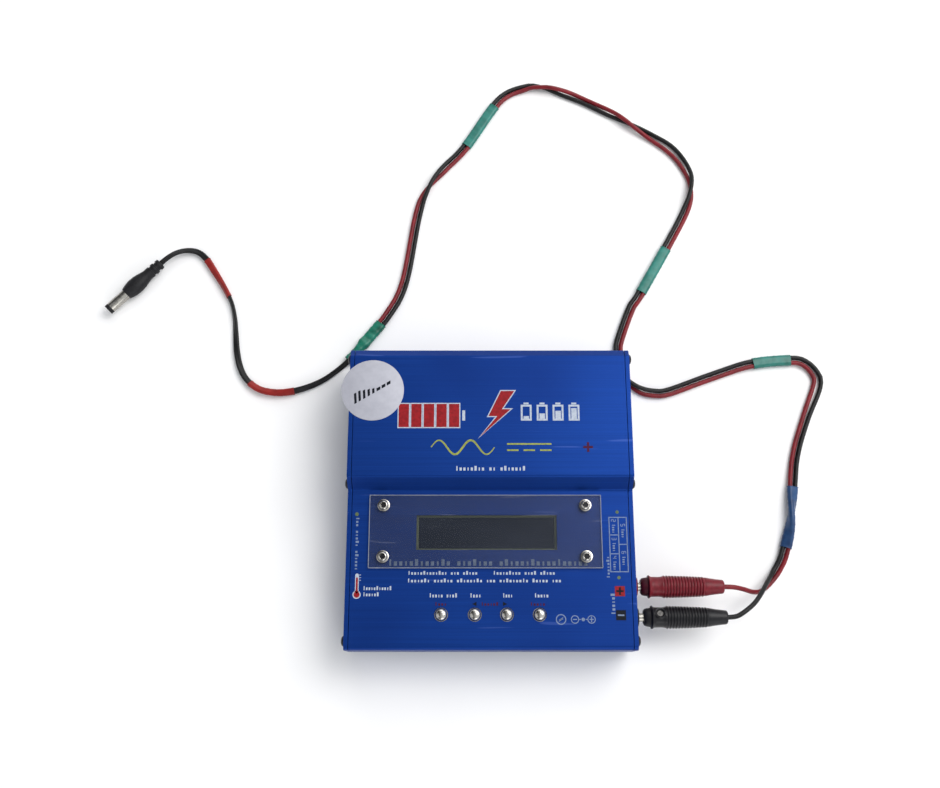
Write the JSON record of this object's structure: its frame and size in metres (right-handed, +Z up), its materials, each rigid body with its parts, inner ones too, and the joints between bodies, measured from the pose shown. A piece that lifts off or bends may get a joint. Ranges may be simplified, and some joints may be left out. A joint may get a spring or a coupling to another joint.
{
  "type": "balance battery charger",
  "caption": "Desktop balance charger in a stepped blue metal case with a screwed-down display plate, push buttons, end sockets and a two-wire lead from jack plugs to a barrel plug.",
  "frame": {"origin": "on the supporting surface under the middle of the case, which includes its feet, jacks and label and leaves out the lead", "axes": "+X towards the end with the output jacks, +Y towards the raised rear, +Z up"},
  "size_m": [0.3722, 0.309, 0.0366],
  "materials": {
    "case": "blue anodised, brushed along the width",
    "black_screw": "black oxide",
    "rubber_foot": "matt",
    "label": "satin sticker",
    "clear_plate": "clear acrylic",
    "bright_steel": "bright",
    "display_frame": "yellow-green tinted edge",
    "display_glass": "dark glossy",
    "circuit_board": "green solder mask",
    "copper_core": "taped winding",
    "black_plastic": "moulded",
    "white_nylon": "natural nylon",
    "red_plastic": "moulded",
    "red_silicone": "silicone insulation",
    "black_silicone": "silicone insulation",
    "green_sleeving": "heat-shrink",
    "dark_green_sleeving": "heat-shrink",
    "blue_sleeving": "heat-shrink"
  },
  "bodies": {
    "charger": {"top_cover": "case", "bottom_cover": "case", "left_end_plate": "case", "right_end_plate": "case", "round_label": "label", "display_cover": "clear_plate", "lcd_bezel": "display_frame", "lcd_glass": "display_glass", "lcd_board": "circuit_board", "charger_board": "circuit_board", "supply_board": "circuit_board", "transformer": "copper_core", "fan_frame": "black_plastic", "mains_inlet": "black_plastic", "dc_input_jack": "black_plastic", "temperature_sensor_socket": "white_nylon", "output_jack_red": "red_plastic", "output_jack_black": "black_plastic", "left_front_screw": "black_screw", "left_middle_screw": "black_screw", "left_rear_screw": "black_screw", "right_front_screw": "black_screw", "right_middle_screw": "black_screw", "right_rear_screw": "black_screw", "foot_front_left": "rubber_foot", "display_screw_front_left": "bright_steel", "foot_front_right": "rubber_foot", "display_screw_front_right": "bright_steel", "foot_rear_left": "rubber_foot", "display_screw_rear_left": "bright_steel", "foot_rear_right": "rubber_foot", "display_screw_rear_right": "bright_steel", "switch_stop": "black_plastic", "switch_decrease": "black_plastic", "switch_increase": "black_plastic", "switch_start": "black_plastic", "balance_socket_2s": "white_nylon", "balance_socket_3s": "white_nylon", "balance_socket_4s": "white_nylon", "balance_socket_5s": "white_nylon", "balance_socket_6s": "white_nylon"},
    "stop_button": {"button_stop": "bright_steel"},
    "decrease_button": {"button_decrease": "bright_steel"},
    "increase_button": {"button_increase": "bright_steel"},
    "start_button": {"button_start": "bright_steel"},
    "fan": {"fan_rotor": "black_plastic"},
    "output_lead": {"red_plug_grip": "red_plastic", "black_plug_grip": "black_plastic", "red_plug_pin": "bright_steel", "black_plug_pin": "bright_steel", "red_wire": "red_silicone", "black_wire": "black_silicone", "twin_cable": "black_silicone", "blue_sleeve": "blue_sleeving", "green_sleeve_right": "green_sleeving", "green_sleeve_rear": "green_sleeving", "green_sleeve_top": "green_sleeving", "junction_sleeve": "dark_green_sleeving", "barrel_plug_grip": "black_plastic", "barrel_plug_shell": "bright_steel"}
  },
  "joints": [
    {"name": "stop_button_press", "type": "slide", "parent": "charger", "child": "stop_button", "axis": [0, 0, -1], "range_m": [0, 0.0005], "stiffness_N_per_m": 400},
    {"name": "decrease_button_press", "type": "slide", "parent": "charger", "child": "decrease_button", "axis": [0, 0, -1], "range_m": [0, 0.0005], "stiffness_N_per_m": 400},
    {"name": "increase_button_press", "type": "slide", "parent": "charger", "child": "increase_button", "axis": [0, 0, -1], "range_m": [0, 0.0005], "stiffness_N_per_m": 400},
    {"name": "start_button_press", "type": "slide", "parent": "charger", "child": "start_button", "axis": [0, 0, -1], "range_m": [0, 0.0005], "stiffness_N_per_m": 400},
    {"name": "fan_spin", "type": "hinge", "parent": "charger", "child": "fan", "pos_m": [0.0605, 0.04, 0.0202], "axis": [1, 0, 0], "continuous": true},
    {"name": "output_plugs_slide", "type": "slide", "parent": "charger", "child": "output_lead", "axis": [1, 0, 0], "range_m": [0, 0.015]}
  ]
}
